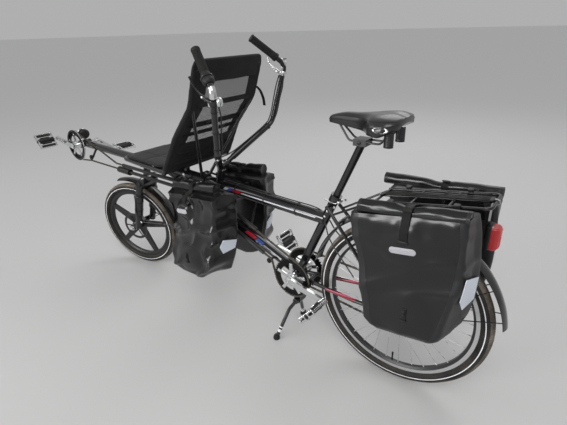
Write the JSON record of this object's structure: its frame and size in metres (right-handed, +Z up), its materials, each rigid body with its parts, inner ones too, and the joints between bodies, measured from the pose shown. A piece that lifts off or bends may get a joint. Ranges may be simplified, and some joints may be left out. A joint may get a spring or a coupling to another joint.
{
  "type": "recumbent bicycle",
  "caption": "Semi-recumbent tandem bicycle with a reclined front seat, a saddle behind it, remote steering, two joined cranks, carriers and roll-top panniers, on its stand.",
  "frame": {"origin": "on the ground, straight under the rear axle, in the bicycle's middle plane", "axes": "+X forward along the bicycle, +Y to the rider's left, +Z up"},
  "size_m": [2.5452, 0.6005, 1.2375],
  "materials": {
    "frame_paint": "gloss black paint",
    "black_metal": "black coated tube",
    "silver": "polished aluminium",
    "steel": "zinc plated steel",
    "chain_steel": "oiled steel",
    "tyre_rubber": "black tyre rubber",
    "rim_silver": "machined brake band",
    "mag_black": "black cast wheel",
    "black_plastic": "black plastic",
    "guard_black": "black mudguard",
    "rubber": "grip rubber",
    "tarpaulin": "coated tarpaulin",
    "seat_mesh": "black mesh cloth",
    "saddle_cover": "black saddle cover",
    "red_lens": "red lamp",
    "lamp": "black lamp housing",
    "clear_tube": "translucent chain tube"
  },
  "bodies": {
    "frame": {"boom": "frame_paint", "chain_tensioner": "black_plastic", "chain_tubes": "clear_tube", "chainstays": "frame_paint", "derailleur": "black_metal", "down_tube": "frame_paint", "drive_chain": "chain_steel", "front_light": "lamp", "front_rack": "black_metal", "head_tubes": "frame_paint", "left_front_pannier": "tarpaulin", "left_rear_pannier": "tarpaulin", "main_beam": "frame_paint", "rear_light": "red_lens", "rear_mudguard": "guard_black", "rear_rack": "black_metal", "right_front_pannier": "tarpaulin", "right_rear_pannier": "tarpaulin", "saddle": "saddle_cover", "saddle_rails": "steel", "seat_back_cloth": "seat_mesh", "seat_back_frame": "black_metal", "seat_base_frame": "black_metal", "seat_cushion": "seat_mesh", "seat_post": "silver", "seat_tube": "frame_paint", "seatstays": "frame_paint", "timing_chain": "chain_steel"},
    "fork": {"fork": "frame_paint", "front_mudguard": "guard_black", "front_caliper": "black_metal"},
    "front_wheel": {"front_tyre": "tyre_rubber", "front_mag_rim": "mag_black", "front_axle": "steel"},
    "rear_wheel": {"rear_tyre": "tyre_rubber", "rear_rim": "rim_silver", "rear_hub": "silver", "rear_spokes": "steel", "rear_cassette": "chain_steel"},
    "handlebar": {"handlebar": "black_metal", "handlebar_stem": "silver", "grips": "rubber", "brake_levers": "black_metal", "bell": "silver"},
    "steering_rod": {"steering_rod": "steel"},
    "rear_crank": {"rear_crankset": "silver", "rear_chainrings": "chain_steel"},
    "front_crank": {"front_crankset": "silver", "front_chainring": "black_metal"},
    "rear_left_pedal": {"rear_left_pedal": "silver"},
    "rear_right_pedal": {"rear_right_pedal": "silver"},
    "front_left_pedal": {"front_left_pedal": "silver"},
    "front_right_pedal": {"front_right_pedal": "silver"},
    "centre_stand": {"centre_stand": "black_metal"}
  },
  "joints": [
    {"name": "steering", "type": "hinge", "parent": "frame", "child": "fork", "pos_m": [1.51055, 0, 0.23878], "axis": [-0.2756, 0, 0.9613], "range_deg": [-48, 22]},
    {"name": "front_wheel_spin", "type": "hinge", "parent": "fork", "child": "front_wheel", "pos_m": [1.54801, 0.009, 0.24952], "axis": [-0.2162, 0.9744, -0.062], "continuous": true},
    {"name": "handlebar_turn", "type": "hinge", "parent": "frame", "child": "handlebar", "pos_m": [0.847, 0, 0.714], "axis": [-0.2756, 0, 0.9613], "range_deg": [-48, 22]},
    {"name": "rod_swing", "type": "hinge", "parent": "handlebar", "child": "steering_rod", "pos_m": [0.90408, -0.05359, 0.55986], "axis": [-0.2756, 0, 0.9613], "range_deg": [-22, 48]},
    {"name": "rear_wheel_spin", "type": "hinge", "parent": "frame", "child": "rear_wheel", "pos_m": [0, 0, 0.3265], "axis": [0, 1, 0], "continuous": true},
    {"name": "rear_crank_spin", "type": "hinge", "parent": "frame", "child": "rear_crank", "pos_m": [0.44, 0, 0.305], "axis": [0, 1, 0], "continuous": true},
    {"name": "front_crank_spin", "type": "hinge", "parent": "frame", "child": "front_crank", "pos_m": [1.985, 0, 0.66], "axis": [0, 1, 0], "continuous": true},
    {"name": "rear_left_pedal_spin", "type": "hinge", "parent": "rear_crank", "child": "rear_left_pedal", "pos_m": [0.27409, 0.145, 0.26792], "axis": [0, 1, 0], "continuous": true},
    {"name": "rear_right_pedal_spin", "type": "hinge", "parent": "rear_crank", "child": "rear_right_pedal", "pos_m": [0.60591, -0.145, 0.34208], "axis": [0, 1, 0], "continuous": true},
    {"name": "front_left_pedal_spin", "type": "hinge", "parent": "front_crank", "child": "front_left_pedal", "pos_m": [2.15318, 0.145, 0.68483], "axis": [0, 1, 0], "continuous": true},
    {"name": "front_right_pedal_spin", "type": "hinge", "parent": "front_crank", "child": "front_right_pedal", "pos_m": [1.81682, -0.145, 0.63517], "axis": [0, 1, 0], "continuous": true},
    {"name": "centre_stand_fold", "type": "hinge", "parent": "frame", "child": "centre_stand", "pos_m": [0.436, 0, 0.178], "axis": [0, 1, 0], "range_deg": [0, 85]}
  ],
  "couplings": [
    {"joint": "handlebar_turn", "follows": "steering", "ratio": 1},
    {"joint": "rod_swing", "follows": "steering", "ratio": -1},
    {"joint": "front_crank_spin", "follows": "rear_crank_spin", "ratio": 1}
  ]
}
